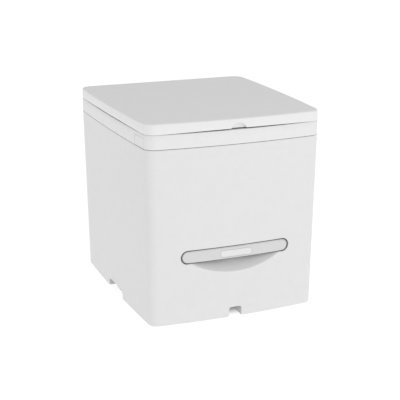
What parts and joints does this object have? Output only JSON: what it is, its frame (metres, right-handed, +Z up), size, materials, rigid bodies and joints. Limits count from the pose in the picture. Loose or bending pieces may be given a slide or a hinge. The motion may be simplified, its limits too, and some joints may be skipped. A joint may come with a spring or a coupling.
{
  "type": "composting toilet",
  "caption": "Cube-shaped portable composting toilet: hinged lid and seat section with a urine diverter, two inner bins, and a pull-out T handle that turns an agitator.",
  "frame": {"origin": "centre of the footprint on the floor, at the underside of the feet", "axes": "+Z up; -Y is the front with the handle; +X is the viewer's right when facing the front"},
  "size_m": [0.3874, 0.4284, 0.41],
  "materials": {
    "shell_white": "fine satin moulded ABS",
    "seat_white": "fine satin moulded ABS",
    "lid_white": "fine satin moulded ABS",
    "handle_grey": "satin moulded ABS, a little darker",
    "inlay_white": "smooth gloss lens",
    "bowl_white": "polished polypropylene",
    "inner_grey": "plain moulding",
    "bin_grey": "dark polypropylene",
    "bottle_natural": "milky polyethylene",
    "rubber_dark": "moulded elastomer",
    "rubber_grey": "soft silicone",
    "steel": "stainless",
    "zinc": "bright zinc",
    "bracket_beige": "beige powder coat",
    "black_plastic": "glass-filled nylon",
    "carbon": "granular activated carbon",
    "board_green": "solder mask",
    "brass_pin": "turned",
    "agitator_white": "acetal"
  },
  "bodies": {
    "housing": {"housing_front": "shell_white", "housing_sides": "shell_white", "housing_back": "shell_white", "pocket_liners": "inner_grey", "hand_recess_cup": "shell_white", "base_pan": "inner_grey", "rubber_feet": "rubber_dark", "base_screws": "zinc", "floor_bracket_left": "bracket_beige", "floor_bracket_right": "bracket_beige", "bracket_thumbscrews": "zinc", "drive_bushing": "black_plastic", "bushing_screws": "zinc", "rim_gasket": "rubber_grey", "latch_keepers": "steel", "keeper_screws": "zinc", "seat_hinge_pins": "steel", "liquids_bottle": "bottle_natural", "bottle_neck_seal": "rubber_grey", "bottle_grip": "black_plastic", "solids_bin": "bin_grey", "bin_front_seal": "rubber_dark", "bin_rear_bearing": "black_plastic", "vent_port": "inner_grey", "fan_housing": "black_plastic", "fan_motor": "black_plastic", "fan_grille": "black_plastic", "fan_screws": "zinc", "filter_case": "inner_grey", "filter_carbon": "carbon", "dc_inlet": "black_plastic", "dc_inlet_nut": "zinc", "dc_contact_pin": "brass_pin", "control_board": "board_green", "board_screws": "zinc"},
    "agitator": {"drive_sleeve": "steel", "sleeve_retaining_ring": "black_plastic", "drive_coupling": "black_plastic", "agitator_coupling": "black_plastic", "agitator_shaft": "steel", "agitator_paddles": "agitator_white"},
    "handle": {"handle_bar": "handle_grey", "handle_inlay": "inlay_white", "handle_shaft": "steel", "handle_set_screw": "zinc"},
    "impeller": {"fan_impeller": "black_plastic"},
    "seat": {"seat_frame": "seat_white", "seat_underside": "inner_grey", "diverter_bowl": "bowl_white", "diverter_screws": "zinc", "spout_seal": "rubber_grey", "lid_hinge_pins": "steel", "latch_springs": "steel"},
    "left_latch": {"latch_left": "seat_white"},
    "right_latch": {"latch_right": "seat_white"},
    "lid": {"lid_shell": "lid_white", "lid_liner": "inner_grey", "lid_seal": "rubber_grey", "lid_bumpers": "rubber_grey", "liner_screws": "zinc"}
  },
  "joints": [
    {"name": "seat_hinge", "type": "hinge", "parent": "housing", "child": "seat", "pos_m": [0, 0.208, 0.36], "axis": [-1, 0, 0], "range_deg": [0, 80]},
    {"name": "lid_hinge", "type": "hinge", "parent": "seat", "child": "lid", "pos_m": [0, 0.208, 0.3895], "axis": [-1, 0, 0], "range_deg": [0, 100]},
    {"name": "latch_left_press", "type": "slide", "parent": "seat", "child": "left_latch", "axis": [1, 0, 0], "range_m": [0, 0.004], "stiffness_N_per_m": 600, "springref_m": -0.002},
    {"name": "latch_right_press", "type": "slide", "parent": "seat", "child": "right_latch", "axis": [-1, 0, 0], "range_m": [0, 0.004], "stiffness_N_per_m": 600, "springref_m": -0.002},
    {"name": "handle_pull", "type": "slide", "parent": "housing", "child": "handle", "axis": [0, -1, 0], "range_m": [0, 0.06]},
    {"name": "agitator_turn", "type": "hinge", "parent": "housing", "child": "agitator", "pos_m": [0, 0, 0.1402], "axis": [0, -1, 0], "continuous": true},
    {"name": "fan_spin", "type": "hinge", "parent": "housing", "child": "impeller", "pos_m": [0.09, 0.1788, 0.215], "axis": [0, 1, 0], "continuous": true}
  ]
}
